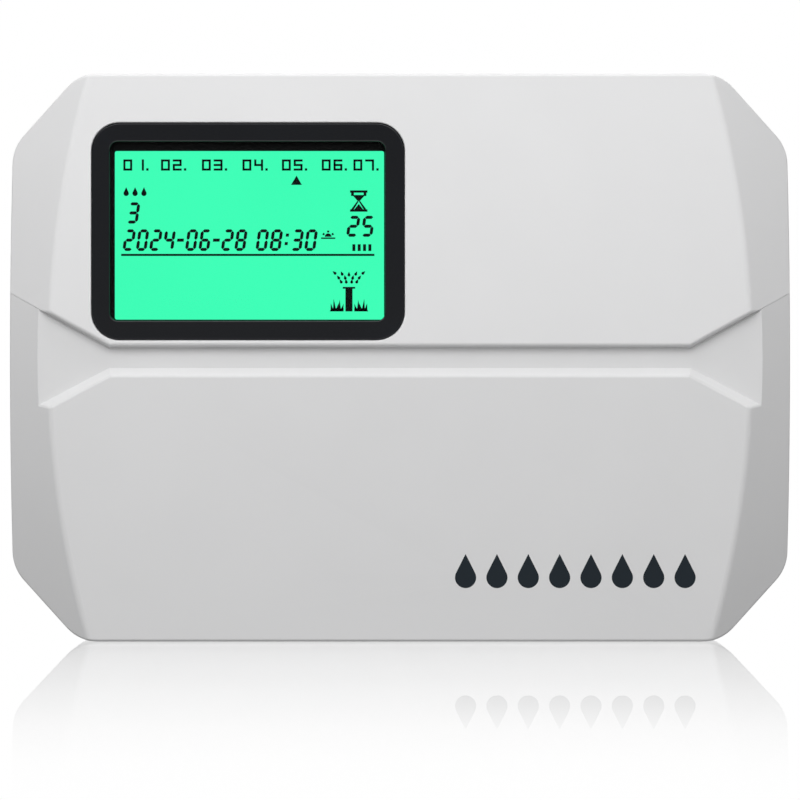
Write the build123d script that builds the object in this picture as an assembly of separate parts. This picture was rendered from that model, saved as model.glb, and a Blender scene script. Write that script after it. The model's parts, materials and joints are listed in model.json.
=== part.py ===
"""Wall-mounted irrigation controller, 220 x 159.4 x 50 mm.

Row frame in millimetres: origin at the centre of the back face, +X to the right, +Y into the wall, +Z up.
The front faces -Y. The lower door turns down about a pin axis along X at its bottom rear edge.
"""

from build123d import *

import os
from math import asin, cos, radians, sin, sqrt

# ---- Case outline --------------------------------------------------------------------------------
WIDTH = 220.0
HEIGHT = 159.4
DEPTH = 50.0
SIDE_BOW = 0.6            # each side bulges by this much at mid height
CORNER_CUT_X = 19.2       # corner chamfer, along X
CORNER_CUT_Z = 20.3       # corner chamfer, along Z
CORNER_RADIUS = 12.0      # round between chamfer and sides
WALL = 2.3
BACK_WALL = 2.5

FRONT_Y = -DEPTH
REAR_RIM_Y = -21.6        # front rim of the rear housing
DOOR_RIM_Y = -22.0        # rear rim of the door, clear of the housing's rim
LIP_THICK = 1.4           # inner lip of the housing that closes the joint
LIP_GAP = 0.2
LIP_Y = -23.6
COVER_FLANGE_Y = -24.0    # rear edge of the cover's lower flange
DOOR_FLANGE_Y = -40.0     # rear edge of the door's upper flange
FAR = 125.0               # beyond the case on every side

# ---- Side facets: big barrels that slope the front back to the sides -----------------------------
FACET_ANGLE = 40.0        # slope of a facet, from the front face
RIDGE_X = 98.6            # ridge between front face and facet, at mid height
BARREL_RADIUS = 444.0
RIDGE_ROUND = 2.4
RIM_ROUND = 0.8

# ---- Recessed band and the split between cover and door ------------------------------------------
BAND_KNEE_X = 81.8
BAND_TOP = (2.35, 0.548)      # upper edge of the band's floor: height between the knees, slope outside them
BAND_BOTTOM = (2.9, 0.527)    # lower edge, measured downwards
BAND_DEPTH = 2.75
BAND_FLOOR_Y = FRONT_Y + BAND_DEPTH
UPPER_WALL_RUN = 1.15         # the upper wall of the band is steeper than the lower one
LOWER_WALL_RUN = 2.2
BAND_SHOULDER = 1.0
SPLIT_RISE = 0.5              # the split runs in the upper wall, this far above the floor's edge
SPLIT_Z = BAND_TOP[0] + SPLIT_RISE
DOOR_GAP = 0.08
TONGUE_X = 102.8              # outside this the cover's tongue lies behind the door's skin
TONGUE_SINK = 0.5
TONGUE_THICK = 0.9
TONGUE_REACH = 1.0
TONGUE_CLEARANCE = 0.12

# ---- Display -------------------------------------------------------------------------------------
BEZEL_CENTRE = (-42.67, 35.4)
BEZEL_SIZE = (87.9, 61.0)
BEZEL_CORNER = 8.0
BEZEL_GAP = 0.1           # between bezel and cover, all round
BEZEL_SINK = 0.4          # bezel's face below the cover's face
BEZEL_THICK = 1.6
OPENING_CENTRE = (-42.81, 35.53)
OPENING_SIZE = (77.3, 50.25)
OPENING_CORNER = 2.3
LIT_CENTRE = (-42.33, 34.4)
LIT_SIZE = (75.7, 47.4)
WINDOW_SIZE = (82.0, 54.6)
WINDOW_THICK = 1.2
POCKET_Y = FRONT_Y + BEZEL_SINK + BEZEL_THICK
LEDGE_BACK_Y = POCKET_Y + 1.4
LCD_FRAME_SIZE = (83.0, 55.0)
LCD_FRAME_Y = LEDGE_BACK_Y + 0.1
LCD_GLASS_SIZE = (80.0, 52.0)
LCD_GLASS_Y = LCD_FRAME_Y + 0.6
LCD_GLASS_BACK = LCD_GLASS_Y + 2.2
BACKLIGHT_SIZE = (78.0, 46.0)
BACKLIGHT_CENTRE = (-42.65, 35.4)
DISPLAY_BOARD_Y = -38.3   # front face of the display board
BOARD_THICK = 1.6
DISPLAY_BOARD_BACK = DISPLAY_BOARD_Y + BOARD_THICK
DISPLAY_BOARD_X = (-92.0, 6.0)
DISPLAY_BOARD_Z = (6.0, 68.0)
DISPLAY_SCREWS = [(x, z) for x in (-88.5, 2.5) for z in (15.0, 64.5)]

# ---- Main board, control panel and their screws --------------------------------------------------
MAIN_BOARD_Y = -9.6       # front face of the main board
MAIN_BOARD_BACK = MAIN_BOARD_Y + BOARD_THICK
MAIN_BOARD_X = (-82.0, 82.0)
MAIN_BOARD_Z = (-60.0, 44.0)
MAIN_SCREWS = [(x, z) for x in (-78.0, 78.0) for z in (-42.0, 0.0, 40.0)]
PANEL_Y = -22.0           # front face of the control panel
PANEL_BACK = -20.0
PANEL_INSET = 4.4
PANEL_Z = (-46.5, 17.0)
PANEL_SCREWS = [(x, z) for x in (-94.0, 94.0) for z in (-38.0, 0.0)]
COVER_SCREWS = [(-99.0, 46.0), (99.0, 46.0), (-99.0, 26.0), (99.0, 26.0), (20.0, 70.0), (-60.0, 72.2)]
COVER_BOSS_Y = -16.3      # where cover boss and housing boss meet
COVER_SCREW_SEAT_Y = -10.0
SCREW_RADIUS = 1.4
BOSS_RADIUS = 3.2

# ---- Keys ----------------------------------------------------------------------------------------
KEY_NAMES = ["wifi", "mode", "down", "up", "ok", "back"]
KEY_PITCH = 25.0
KEY_Z = -20.0
KEY_RADIUS = 5.8
KEY_FACE_Y = -24.6
KEY_FLANGE_RADIUS = 7.0
KEY_FLANGE_Y = (-18.7, -19.7)
KEY_STEM_RADIUS = 2.2
KEY_CLEARANCE = 0.3
PLUNGER_RADIUS = 1.7
PLUNGER_CLEARANCE = 0.08
PLUNGER_TOP_Y = -16.8
PLUNGER_FOOT_Y = (-12.3, -12.7)
PLUNGER_FOOT_RADIUS = 2.2
SWITCH_SIDE = 6.2
SWITCH_BODY_Y = -12.8
SWITCH_TOP_Y = -13.1
SWITCH_WELL_Y = -11.5

# ---- Terminals -----------------------------------------------------------------------------------
POLE_PITCH = 7.62
TERMINAL_Z = (-60.0, -48.5)
TERMINAL_TOP_Y = -22.9
BLOCK_POLES = {"power_terminal": 2, "sensor_terminal": 2, "valve_terminal": 10}
BLOCK_GAP = 5.0
BLOCK_MARGIN = 1.2
WIRE_HOLE_HALF = 2.5
WIRE_AXIS_Y = -15.0
WIRE_HOLE_DEPTH = 8.0
TERMINAL_SCREW_Z = -55.0
SCREW_WELL_RADIUS = 2.3
CLAMP_SCREW_RADIUS = 1.3

# ---- Hinge and latch -----------------------------------------------------------------------------
HINGE_Y = -25.0
HINGE_Z = -76.7
HINGE_ROUND = 3.0         # the door's bottom rear edge turns on this radius
PIN_RADIUS = 1.0
PIN_CLEARANCE = 0.06
LUG_X = 71.0
LUG_HALF = 3.0
LUG_RADIUS = 2.6
EAR_WIDTH = 4.0
EAR_GAP = 0.4
LATCH_X = 50.0
LATCH_HALF = 5.0
LATCH_REACH_Y = -37.0
LATCH_BARB = 0.38

# ---- Wall mounting and cable entries -------------------------------------------------------------
KEYHOLE_Z = 58.0
KEYHOLE_HEAD_RADIUS = 4.5
KEYHOLE_NECK_RADIUS = 2.3
KEYHOLE_RISE = 8.0
WALL_SCREW_X = 75.0
WALL_SCREW_Z = -68.0
WALL_SCREW_RADIUS = 2.25
ENTRY_Y = -11.0
WIRE_ENTRY_HALF = 35.0
WIRE_ENTRY_WIDTH = 12.0
LEAD_ENTRY_X = -55.0
LEAD_ENTRY_RADIUS = 5.5
LEAD_BORE_RADIUS = 3.2

RATING_CENTRE = (0.0, -34.0)
RATING_SIZE = (61.0, 35.0)
RATING_RECESS = 0.3

# ---- Front emblem --------------------------------------------------------------------------------
EMBLEM_X = (14.0, 84.4)
EMBLEM_Z = (-64.7, -55.1)
EMBLEM_DROPS = 8
EMBLEM_THICK = 0.4


# ---- Helpers -------------------------------------------------------------------------------------
def upright(y):
    """Plane facing the front at depth y, with local x along X and local y along Z."""
    return Plane(origin=(0, y, 0), x_dir=(1, 0, 0), z_dir=(0, -1, 0))


def slab(sketch, y_back, y_front):
    """Solid of a front-view sketch between two depths; y_front is the more negative."""
    return extrude(upright(y_back) * sketch, amount=y_back - y_front, dir=(0, -1, 0))


def block(x, y, z):
    """Box between the two values given for each axis."""
    lows = [min(pair) for pair in (x, y, z)]
    sizes = [max(pair) - min(pair) for pair in (x, y, z)]
    corner = (Align.MIN, Align.MIN, Align.MIN)
    return Pos(*lows) * Box(*sizes, align=corner)


def rod(x, z, radius, y_back, y_front):
    """Round bar along Y at (x, z)."""
    return slab(Pos(x, z) * Circle(radius), y_back, y_front)


def rod_x(y, z, radius, x_low, x_high):
    """Round bar along X at (y, z)."""
    plane = Plane(origin=(x_low, y, z), z_dir=(1, 0, 0))
    return extrude(plane * Circle(radius), amount=x_high - x_low)


def panel(centre, size, corner, y_back, y_front):
    """Rounded rectangular plate facing the front."""
    return slab(Pos(*centre) * RectangleRounded(*size, corner), y_back, y_front)


def group(solids):
    """Several separate solids in one node."""
    return Compound(children=[solid for shape in solids for solid in shape.solids()])


def screw(x, z, seat_y, length, radius, head_radius, head_height, toward):
    """Pan-head cross-recess screw along Y; toward is +1 if its point looks to the wall, -1 to the front."""
    head_y = seat_y - toward * head_height
    head = rod(x, z, head_radius, max(seat_y, head_y), min(seat_y, head_y))
    head = fillet(head.edges().group_by(Axis.Y)[0 if toward > 0 else -1], head_height * 0.35)
    tip_y = seat_y + toward * length
    shank = rod(x, z, radius, max(seat_y, tip_y), min(seat_y, tip_y))
    recess_y = (head_y - toward, head_y + toward * head_height * 0.55)
    arm, half = head_radius * 0.6, head_radius * 0.14
    cross = block((x - arm, x + arm), recess_y, (z - half, z + half))
    cross += block((x - half, x + half), recess_y, (z - arm, z + arm))
    return head + shank - cross


# ---- Case envelope -------------------------------------------------------------------------------
def case_outline():
    """Front-view outline: an octagon with rounded corners and slightly bowed sides."""
    top, side_z = HEIGHT / 2, HEIGHT / 2 - CORNER_CUT_Z
    side_x, top_x = WIDTH / 2 - SIDE_BOW, WIDTH / 2 - SIDE_BOW - CORNER_CUT_X
    right = ThreePointArc((side_x, side_z), (WIDTH / 2, 0), (side_x, -side_z))
    left = ThreePointArc((-side_x, -side_z), (-WIDTH / 2, 0), (-side_x, side_z))
    path = [
        Line((-top_x, top), (top_x, top)),
        Line((top_x, top), (side_x, side_z)),
        right,
        Line((side_x, -side_z), (top_x, -top)),
        Line((top_x, -top), (-top_x, -top)),
        Line((-top_x, -top), (-side_x, -side_z)),
        left,
        Line((-side_x, side_z), (-top_x, top)),
    ]
    face = make_face(Wire(path))
    return fillet(face.vertices(), CORNER_RADIUS)


OUTLINE = case_outline()


def outline(inset=0.0):
    """The case outline moved inwards."""
    return offset(OUTLINE, amount=-inset) if inset else OUTLINE


def ring(outer_inset, inner_inset, y_back, y_front):
    """Wall that follows the case outline between two insets."""
    return slab(outline(outer_inset), y_back, y_front) - slab(outline(inner_inset), y_back, y_front)


def barrel(side, inset):
    """Big cylinder whose surface is the facet on one side, moved inwards by inset."""
    slope = radians(FACET_ANGLE)
    normal = Vector(side * sin(slope), -cos(slope), 0)
    along = Vector(side * cos(slope), sin(slope), 0)
    axis_point = Vector(side * RIDGE_X, FRONT_Y, 0) - normal * BARREL_RADIUS
    return Plane(origin=axis_point, x_dir=-normal, z_dir=along) * Cylinder(BARREL_RADIUS - inset, 640)


def front_body(inset, y_back, y_front):
    """Front half of the case, moved inwards by inset: outline cut back by both facets."""
    return slab(outline(inset), y_back, y_front) & barrel(-1, inset) & barrel(1, inset)


def band_edge(edge, shift, side):
    """Edge of the band moved out by shift, as points from left to right; side is +1 above, -1 below."""
    height, slope = edge
    stretch = sqrt(1 + slope**2)
    knee = BAND_KNEE_X - shift * (stretch - 1) / slope
    middle = side * (height + shift)
    end = side * (height + slope * (FAR - BAND_KNEE_X) + shift * stretch)
    return [(-FAR, end), (-knee, middle), (knee, middle), (FAR, end)]


def band_area(up, down):
    """Front-view area of the band, its upper and lower edges moved out by up and down."""
    lower = band_edge(BAND_BOTTOM, down, -1)
    return Polygon(*band_edge(BAND_TOP, up, 1), *reversed(lower), align=None)


def split_area(shift, above):
    """Front-view area above or below the split line, the line moved up by shift."""
    limit = FAR if above else -FAR
    edge = band_edge(BAND_TOP, SPLIT_RISE + shift, 1)
    return Polygon(*edge, (FAR, limit), (-FAR, limit), align=None)


def band_cutter():
    """The band's hollow with its two sloping walls."""
    reach = 1.3               # how far the cutter runs, in depths of the band
    floor = upright(BAND_FLOOR_Y) * band_area(0, 0)
    mouth_y = BAND_FLOOR_Y - reach * BAND_DEPTH
    mouth = upright(mouth_y) * band_area(reach * UPPER_WALL_RUN, reach * LOWER_WALL_RUN)
    return loft([floor, mouth], ruled=True)


def front_shape():
    """Whole front of the case as one solid, rounded, with the band cut in."""
    body = front_body(0, REAR_RIM_Y, FRONT_Y)
    face = body.faces().sort_by(Axis.Y)[0]
    ridges = [e for e in face.edges() if e.center().X**2 > (RIDGE_X - 12) ** 2 and e.length > HEIGHT / 2]
    body = fillet(ridges, RIDGE_ROUND)
    rim = [e for e in body.edges() if e.bounding_box().max.Y < REAR_RIM_Y - 1 and on_outline(e)]
    body = fillet(rim, RIM_ROUND)
    body -= band_cutter()
    shoulders = [e for e in body.edges() if is_shoulder(e)]
    return fillet(shoulders, BAND_SHOULDER)


def on_outline(edge):
    """True for an edge that lies on the side wall of the case."""
    wall = slab(outline(0.05), 0, FRONT_Y - 1)
    return not any(wall.is_inside(edge @ t) for t in (0.1, 0.5, 0.9))


def is_shoulder(edge):
    """True for the sharp outer edges of the band, at the front face."""
    middle = edge.center()
    flat = abs(middle.Y - FRONT_Y) < 0.01
    return flat and abs(middle.Z) < HEIGHT / 6 and edge.length > 5


# ---- Front shells --------------------------------------------------------------------------------
def front_hollow():
    """Inside of the front shells, kept clear of the band's floor and of the split."""
    hollow = front_body(WALL, -10, FRONT_Y + WALL)
    under_band = slab(band_area(BAND_DEPTH, BAND_DEPTH), BAND_FLOOR_Y + WALL, FRONT_Y)
    return hollow - under_band


def upper_cover(front, hollow):
    """Upper front shell with the display's seat, its lower flange and its bosses."""
    shell = front & slab(split_area(0, above=True), REAR_RIM_Y, FRONT_Y)
    inside = hollow & slab(split_area(WALL, above=True), -10, FRONT_Y)
    behind_flange = slab(outline(WALL), -10, COVER_FLANGE_Y)
    cover = shell - inside - behind_flange
    ledge = panel(BEZEL_CENTRE, [side + 5 for side in BEZEL_SIZE], BEZEL_CORNER, LEDGE_BACK_Y, FRONT_Y + 1)
    cover += ledge & slab(split_area(WALL / 2, above=True), 0, FRONT_Y)
    pocket_size = [side + 2 * BEZEL_GAP for side in BEZEL_SIZE]
    pocket = panel(BEZEL_CENTRE, pocket_size, BEZEL_CORNER, POCKET_Y, FRONT_Y - 1)
    cover -= pocket
    cover = fillet(pocket_rim(cover), 0.35)
    window_hole = [side + 0.2 for side in WINDOW_SIZE]
    cover -= panel(OPENING_CENTRE, window_hole, 2.0, LEDGE_BACK_Y + 1, POCKET_Y - 1)
    cover += cover_bosses()
    for side in (-1, 1):
        cover += seam_tongue(side)
        cover -= latch_window(side * LATCH_X)
    for x, z in DISPLAY_SCREWS:
        cover -= rod(x, z, SCREW_RADIUS, DISPLAY_BOARD_Y + 1, DISPLAY_BOARD_Y - 6)
    for x, z in COVER_SCREWS:
        cover -= rod(x, z, SCREW_RADIUS, COVER_BOSS_Y + 1, COVER_BOSS_Y - 10)
    return cover


def pocket_rim(cover):
    """Edges where the bezel's pocket meets the front face."""
    half_x, half_z = [side / 2 + 1 for side in BEZEL_SIZE]
    x, z = BEZEL_CENTRE

    def near(edge):
        middle = edge.center()
        inside = abs(middle.X - x) < half_x and abs(middle.Z - z) < half_z
        return inside and abs(edge.bounding_box().max.Y - FRONT_Y) < 0.01
    return [edge for edge in cover.edges() if near(edge)]


def cover_bosses():
    """Posts inside the cover for the display board and for the screws from the back."""
    front = FRONT_Y + WALL - 0.1
    posts = [rod(x, z, BOSS_RADIUS - 0.3, DISPLAY_BOARD_Y, front) for x, z in DISPLAY_SCREWS]
    posts += [rod(x, z, BOSS_RADIUS, COVER_BOSS_Y, front) for x, z in COVER_SCREWS]
    return (Part() + posts) & front_body(WALL / 2, 0, FRONT_Y + 1)


def latch_window(x):
    """Opening in the cover's lower flange that the door's barb catches in."""
    y = (LATCH_REACH_Y + 0.4, LATCH_REACH_Y - 2.4)
    return block((x - LATCH_HALF - 0.5, x + LATCH_HALF + 0.5), y, (SPLIT_Z - 1, SPLIT_Z + WALL + 1))


def seam_strip(side, low, high, x, sink, y_back):
    """All that lies deeper than sink under one facet, between two shifts of the split line."""
    across = slab(split_area(low, above=True) - split_area(high, above=True), y_back, FRONT_Y)
    beyond = block((side * x, side * FAR), (0, -DEPTH), (-FAR, FAR))
    return across & beyond & front_body(sink, y_back, FRONT_Y)


def seam_tongue(side):
    """Tongue of the cover that closes the seam behind the door's skin."""
    strip = seam_strip(side, -TONGUE_REACH, WALL / 2, TONGUE_X, TONGUE_SINK, COVER_FLANGE_Y)
    return strip - front_body(TONGUE_SINK + TONGUE_THICK, 0, FRONT_Y)


def tongue_space(side):
    """Room in the door for the cover's tongue, open towards the back."""
    reach = TONGUE_REACH + TONGUE_CLEARANCE
    sink = TONGUE_SINK - TONGUE_CLEARANCE
    return seam_strip(side, -reach, WALL, TONGUE_X - TONGUE_CLEARANCE, sink, DOOR_RIM_Y + 1)


def lower_door(front, hollow):
    """Lower front shell that turns down, with the band in its top edge."""
    area = split_area(-DOOR_GAP, above=False)
    shell = front & slab(area, DOOR_RIM_Y, FRONT_Y)
    inside = hollow & slab(split_area(-DOOR_GAP - WALL, above=False), -10, FRONT_Y)
    behind_flange = slab(outline(WALL), -10, DOOR_FLANGE_Y) & front_body(WALL, -10, FRONT_Y)
    door = shell - inside - behind_flange - door_turning_space()
    for side in (-1, 1):
        door += hinge_ears(side) + latch_tab(side * LATCH_X)
    for side in (-1, 1):
        door -= lug_notch(side) + tongue_space(side)
        door -= rod_x(HINGE_Y, HINGE_Z, PIN_RADIUS, *pin_span(side))
    return door - emblem_slab()


def door_turning_space():
    """Material outside the turning radius at the door's bottom rear edge."""
    corner = block((-FAR, FAR), (HINGE_Y, 0), (HINGE_Z, -HEIGHT))
    return corner - rod_x(HINGE_Y, HINGE_Z, HINGE_ROUND, -FAR, FAR)


def pin_span(side):
    """Low and high x of one hinge pin."""
    reach = LUG_HALF + EAR_GAP + EAR_WIDTH
    return side * LUG_X - reach, side * LUG_X + reach


def hinge_ears(side):
    """Two ears of the door that hold one pin."""
    low, high = pin_span(side)
    ears = Part()
    for x in (low, high - EAR_WIDTH):
        ears += rod_x(HINGE_Y, HINGE_Z, HINGE_ROUND, x, x + EAR_WIDTH)
        ears += block((x, x + EAR_WIDTH), (HINGE_Y, HINGE_Y - 7), (-HEIGHT / 2 + 1, HINGE_Z + 2))
    return ears


def lug_notch(side):
    """Space in the door for the housing's lug."""
    half = LUG_HALF + EAR_GAP
    x = (side * LUG_X - half, side * LUG_X + half)
    return block(x, (HINGE_Y - HINGE_ROUND - 1, 0), (-HEIGHT, HINGE_Z + HINGE_ROUND + 1))


def latch_tab(x):
    """Tongue of the door with a barb that snaps into the cover's flange."""
    top = SPLIT_Z - DOOR_GAP
    tongue = block((x - LATCH_HALF, x + LATCH_HALF), (BAND_FLOOR_Y + 1, LATCH_REACH_Y), (top - 1.8, top))
    barb = Polyline((0, top), (-2, top + LATCH_BARB), (-2, top), (0, top))
    plane = Plane(origin=(x - LATCH_HALF, LATCH_REACH_Y, 0), x_dir=(0, 1, 0), z_dir=(1, 0, 0))
    return tongue + extrude(plane * make_face(barb), amount=2 * LATCH_HALF)


def drop(x, z, height):
    """Outline of a water drop whose lowest point is at (x, z)."""
    radius = height * 0.31
    centre_z = z + radius
    tip_z = z + height
    lean = asin(radius / (tip_z - centre_z))
    side_x, side_z = radius * cos(lean), centre_z + radius * sin(lean)
    body = Pos(x, centre_z) * Circle(radius)
    return body + Polygon((x + side_x, side_z), (x, tip_z), (x - side_x, side_z), align=None)


def emblem_slab():
    """Row of plain drops, flush with the door's face."""
    width = (EMBLEM_X[1] - EMBLEM_X[0]) / EMBLEM_DROPS
    height = EMBLEM_Z[1] - EMBLEM_Z[0]
    centres = [EMBLEM_X[0] + width * (i + 0.5) for i in range(EMBLEM_DROPS)]
    drops = Sketch() + [drop(x, EMBLEM_Z[0], height) for x in centres]
    return slab(drops, FRONT_Y + EMBLEM_THICK, FRONT_Y)


CHART_CENTRE = (0.0, -38.0)
CHART_SIZE = (150.0, 46.0)


def zone_chart():
    """Thin label on the inside of the door."""
    return panel(CHART_CENTRE, CHART_SIZE, 2.0, FRONT_Y + WALL + 0.2, FRONT_Y + WALL)


def hinge_pins():
    return group([rod_x(HINGE_Y, HINGE_Z, PIN_RADIUS, *pin_span(side)) for side in (-1, 1)])


# ---- Rear housing --------------------------------------------------------------------------------
def rear_housing():
    """Back shell with wall mounting, cable entries, hinge lugs and screw posts."""
    housing = slab(outline(), 0, REAR_RIM_Y) - slab(outline(WALL), -BACK_WALL, -DEPTH)
    housing = fillet(housing.faces().sort_by(Axis.Y)[-1].outer_wire().edges(), 1.2)
    housing -= ring(-1, 0.6, REAR_RIM_Y + 0.8, REAR_RIM_Y - 1)
    housing += housing_lip()
    housing -= rim_relief()
    for side in (-1, 1):
        housing += hinge_lug(side)
    housing += housing_posts()
    housing -= wall_openings() + cable_entries()
    housing -= panel(RATING_CENTRE, [side + 1 for side in RATING_SIZE], 2.0, 1, -RATING_RECESS)
    for x, z in MAIN_SCREWS:
        housing -= rod(x, z, SCREW_RADIUS, -3.4, MAIN_BOARD_BACK - 1)
    for x, z in PANEL_SCREWS:
        housing -= rod(x, z, SCREW_RADIUS, PANEL_BACK + 7, PANEL_BACK - 1)
    for x, z in COVER_SCREWS:
        housing -= rod(x, z, SCREW_RADIUS + 0.2, 1, COVER_BOSS_Y - 1)
        housing -= rod(x, z, BOSS_RADIUS, 1, COVER_SCREW_SEAT_Y)
    return housing


def housing_lip():
    """Inner lip that stands past the rim, left out where the door is hinged."""
    root = ring(WALL - 0.1, WALL + LIP_THICK, REAR_RIM_Y + 3, REAR_RIM_Y)
    lip = ring(WALL + LIP_GAP, WALL + LIP_THICK, REAR_RIM_Y, LIP_Y)
    return (root + lip) - block((-FAR, FAR), (0, -DEPTH), (-HEIGHT, -HEIGHT / 2 + 14))


def rim_relief():
    """Bevel on the bottom front edge that the open door swings past."""
    z = -HEIGHT / 2
    corner = Polyline((0, z), (1.8, z), (0, z + 1.8), (0, z))
    plane = Plane(origin=(-FAR, REAR_RIM_Y, 0), x_dir=(0, 1, 0), z_dir=(1, 0, 0))
    return extrude(plane * make_face(corner), amount=2 * FAR)


def hinge_lug(side):
    """Lug of the housing that the door's pin turns in."""
    x = (side * LUG_X - LUG_HALF, side * LUG_X + LUG_HALF)
    lug = rod_x(HINGE_Y, HINGE_Z, LUG_RADIUS, *x)
    lug += block(x, (HINGE_Y, REAR_RIM_Y + 6), (HINGE_Z - LUG_RADIUS, HINGE_Z + LUG_RADIUS))
    return lug - rod_x(HINGE_Y, HINGE_Z, PIN_RADIUS + PIN_CLEARANCE, x[0] - 1, x[1] + 1)


def housing_posts():
    """Posts for the main board, the control panel and the cover screws."""
    posts = [rod(x, z, BOSS_RADIUS, -1, MAIN_BOARD_BACK) for x, z in MAIN_SCREWS]
    posts += [rod(x, z, BOSS_RADIUS, -1, PANEL_BACK) for x, z in PANEL_SCREWS]
    posts += [rod(x, z, BOSS_RADIUS + 1.6, -1, COVER_BOSS_Y) for x, z in COVER_SCREWS]
    return Part() + posts


def wall_openings():
    """Keyhole at the top centre and two screw holes at the bottom."""
    keyhole = Pos(0, KEYHOLE_Z) * Circle(KEYHOLE_HEAD_RADIUS)
    keyhole += Pos(0, KEYHOLE_Z + KEYHOLE_RISE / 2) * Rectangle(2 * KEYHOLE_NECK_RADIUS, KEYHOLE_RISE)
    keyhole += Pos(0, KEYHOLE_Z + KEYHOLE_RISE) * Circle(KEYHOLE_NECK_RADIUS)
    openings = slab(keyhole, 1, -BACK_WALL - 1)
    for x in (-WALL_SCREW_X, WALL_SCREW_X):
        openings += rod(x, WALL_SCREW_Z, WALL_SCREW_RADIUS, 1, -BACK_WALL - 1)
    return openings


def cable_entries():
    """Slot for the field wires and round hole for the supply lead, through the bottom wall."""
    floor = Plane(origin=(0, 0, -HEIGHT / 2 - 1), x_dir=(1, 0, 0), z_dir=(0, 0, 1))
    slot = Pos(0, ENTRY_Y) * SlotOverall(2 * WIRE_ENTRY_HALF, WIRE_ENTRY_WIDTH)
    slot += Pos(LEAD_ENTRY_X, ENTRY_Y) * Circle(LEAD_ENTRY_RADIUS)
    return extrude(floor * slot, amount=WALL + 3)


def lead_grommet():
    """Rubber ring round the supply lead, gripping the bottom wall."""
    outside = -HEIGHT / 2
    floor = Plane(origin=(LEAD_ENTRY_X, ENTRY_Y, outside), x_dir=(1, 0, 0), z_dir=(0, 0, 1))
    body = floor * Pos(0, 0, WALL / 2) * Cylinder(LEAD_ENTRY_RADIUS, WALL)
    body += floor * Pos(0, 0, WALL + 0.6) * Cylinder(LEAD_ENTRY_RADIUS + 1.4, 1.2)
    return body - floor * Cylinder(LEAD_BORE_RADIUS, 10)


def rating_label():
    """Label in a shallow recess of the back."""
    return panel(RATING_CENTRE, RATING_SIZE, 1.6, -0.05, -RATING_RECESS)


# ---- Display stack -------------------------------------------------------------------------------
def display_bezel():
    """Black frame with rounded edges, set in the cover."""
    face_y = FRONT_Y + BEZEL_SINK
    frame = panel(BEZEL_CENTRE, BEZEL_SIZE, BEZEL_CORNER, POCKET_Y, face_y)
    frame -= panel(OPENING_CENTRE, OPENING_SIZE, OPENING_CORNER, 0, -DEPTH)
    face = frame.faces().sort_by(Axis.Y)[0]
    return fillet(face.edges(), 0.4)


def display_window():
    return panel(OPENING_CENTRE, WINDOW_SIZE, 2.0, POCKET_Y + WINDOW_THICK, POCKET_Y)


def lcd_frame():
    """Black holder round the glass and the backlight, standing on the display board."""
    frame = panel(LIT_CENTRE, LCD_FRAME_SIZE, 1.0, DISPLAY_BOARD_Y, LCD_FRAME_Y)
    frame -= panel(LIT_CENTRE, [side + 0.4 for side in LCD_GLASS_SIZE], 0.5, 0, LCD_GLASS_Y)
    return frame - panel(LIT_CENTRE, LIT_SIZE, 0.6, 0, -DEPTH)


def lcd_panel():
    return panel(LIT_CENTRE, LCD_GLASS_SIZE, 0.4, LCD_GLASS_BACK, LCD_GLASS_Y)


def lcd_backlight():
    return panel(BACKLIGHT_CENTRE, BACKLIGHT_SIZE, 0.5, LCD_GLASS_BACK + 3.8, LCD_GLASS_BACK)


def lcd_contact_strip():
    return block((-78.0, -7.0), (DISPLAY_BOARD_Y, LCD_GLASS_BACK), (9.2, 11.4))


def drilled_board(x, y_front, z, holes, radius):
    """Circuit board with rounded corners and clearance holes."""
    centre = (sum(x) / 2, sum(z) / 2)
    board = panel(centre, (x[1] - x[0], z[1] - z[0]), 2.0, y_front + BOARD_THICK, y_front)
    return board - [rod(px, pz, radius, 0, -DEPTH) for px, pz in holes]


def display_board():
    """Board behind the display, notched where the cover's flange rises."""
    board = drilled_board(DISPLAY_BOARD_X, DISPLAY_BOARD_Y, DISPLAY_BOARD_Z, DISPLAY_SCREWS, SCREW_RADIUS)
    return board - block((DISPLAY_BOARD_X[0] - 1, -82.0), (0, -DEPTH), (DISPLAY_BOARD_Z[0] - 1, 11.6))


def screw_set(places, seat_y, length, head_radius, toward):
    """Alike screws at several places."""
    height = 0.7 * head_radius
    return group([screw(x, z, seat_y, length, SCREW_RADIUS, head_radius, height, toward) for x, z in places])


def display_board_screws():
    return screw_set(DISPLAY_SCREWS, DISPLAY_BOARD_BACK, 6.5, 2.6, -1)


RIBBON_X = (-30.0, -10.0)
RIBBON_ENDS_Z = (34.0, 28.0)
DISPLAY_PLUG_Y = DISPLAY_BOARD_BACK + 3.0
MAIN_PLUG_Y = MAIN_BOARD_Y - 4.0


def display_ribbon():
    """Flat cable that arches between the two boards."""
    top, bottom = RIBBON_ENDS_Z
    crest = top + 5
    side_view = [
        (DISPLAY_PLUG_Y, top),
        (DISPLAY_PLUG_Y + 6, top),
        (DISPLAY_PLUG_Y + 9, crest),
        (MAIN_PLUG_Y - 8, crest),
        (MAIN_PLUG_Y - 6, bottom),
        (MAIN_PLUG_Y, bottom),
    ]
    start = Plane(origin=(RIBBON_X[0] + 1, 0, 0), x_dir=(0, 1, 0), z_dir=(1, 0, 0))
    profile = trace(FilletPolyline(*side_view, radius=1.6), line_width=0.7)
    return extrude(start * profile, amount=RIBBON_X[1] - RIBBON_X[0] - 2)


def ribbon_connectors():
    top, bottom = RIBBON_ENDS_Z
    upper = block(RIBBON_X, (DISPLAY_BOARD_BACK, DISPLAY_PLUG_Y), (top - 3, top + 3))
    lower = block(RIBBON_X, (MAIN_BOARD_Y, MAIN_PLUG_Y), (bottom - 3, bottom + 3))
    return group([upper, lower])


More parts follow.
